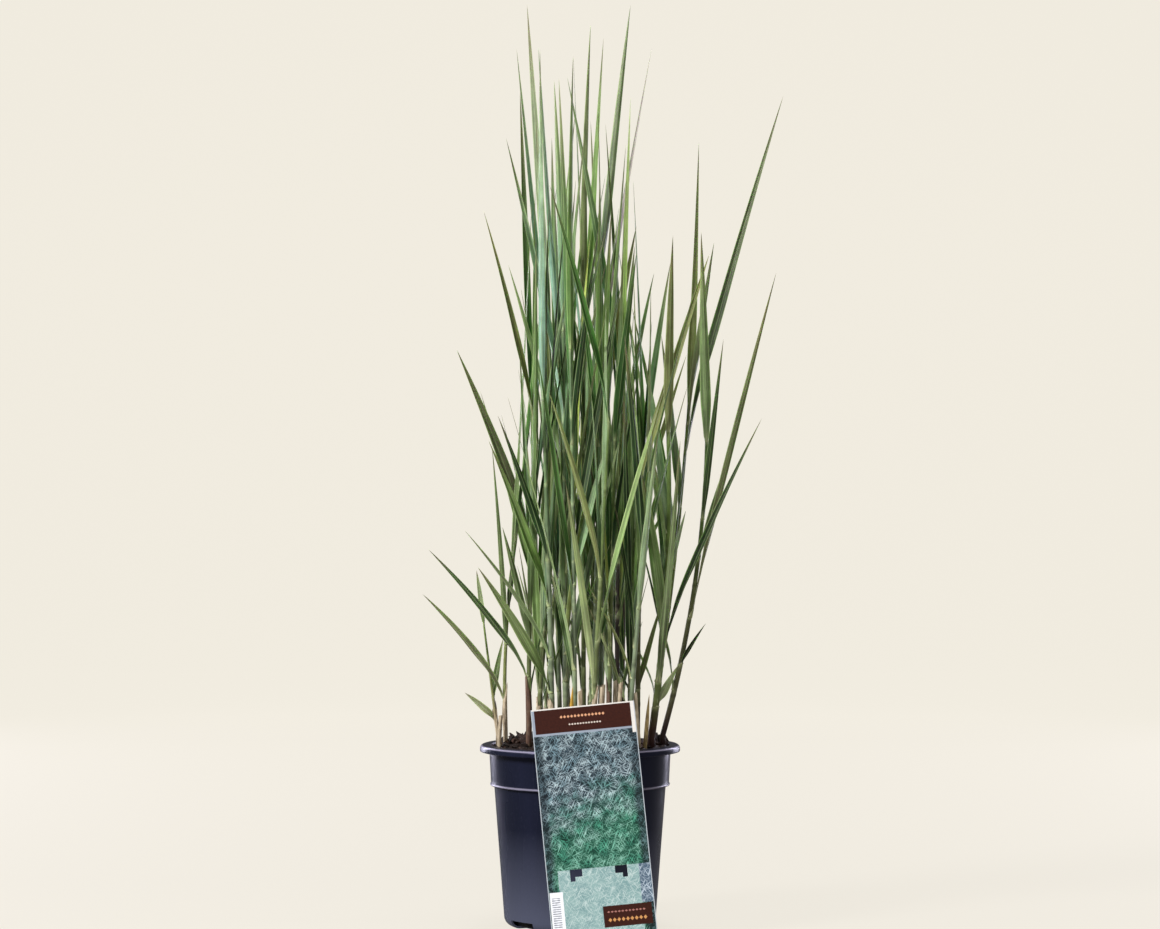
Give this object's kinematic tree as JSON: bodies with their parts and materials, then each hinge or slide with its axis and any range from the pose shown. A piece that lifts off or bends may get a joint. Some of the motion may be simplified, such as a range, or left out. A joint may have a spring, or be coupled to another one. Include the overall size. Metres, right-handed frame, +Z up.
{
  "type": "potted ornamental grass",
  "caption": "Upright clump of switchgrass: leafy stems, cut straw stubs and dead leaves in soil, in a stepped round nursery pot with a plain printed card leaning on its rim.",
  "frame": {"origin": "centre of the pot's underside, at floor level", "axes": "+Z up along the pot's axis, -Y to the front, where the card leans on the rim, +X to the right seen from the front"},
  "size_m": [0.3085, 0.2299, 0.796],
  "materials": {
    "foliage": "satin",
    "straw": "matte",
    "dead_leaf": "matte",
    "soil": "matte",
    "pot_plastic": "satin",
    "label_card": "satin"
  },
  "bodies": {
    "root": {"culm_01": "foliage", "culm_02": "foliage", "culm_03": "foliage", "culm_04": "foliage", "culm_05": "foliage", "culm_06": "foliage", "culm_07": "foliage", "culm_08": "foliage", "culm_09": "foliage", "culm_10": "foliage", "culm_11": "foliage", "culm_12": "foliage", "culm_13": "foliage", "culm_14": "foliage", "culm_15": "foliage", "culm_16": "foliage", "culm_17": "foliage", "culm_18": "foliage", "culm_19": "foliage", "culm_20": "foliage", "culm_21": "foliage", "culm_22": "foliage", "culm_23": "foliage", "culm_24": "foliage", "culm_25": "foliage", "culm_26": "foliage", "culm_27": "foliage", "culm_28": "foliage", "stub_01": "straw", "stub_02": "straw", "stub_03": "straw", "stub_04": "straw", "stub_05": "straw", "stub_06": "straw", "stub_07": "straw", "dead_leaf_01": "dead_leaf", "dead_leaf_02": "dead_leaf", "soil": "soil", "pot": "pot_plastic", "label": "label_card"}
  },
  "joints": []
}
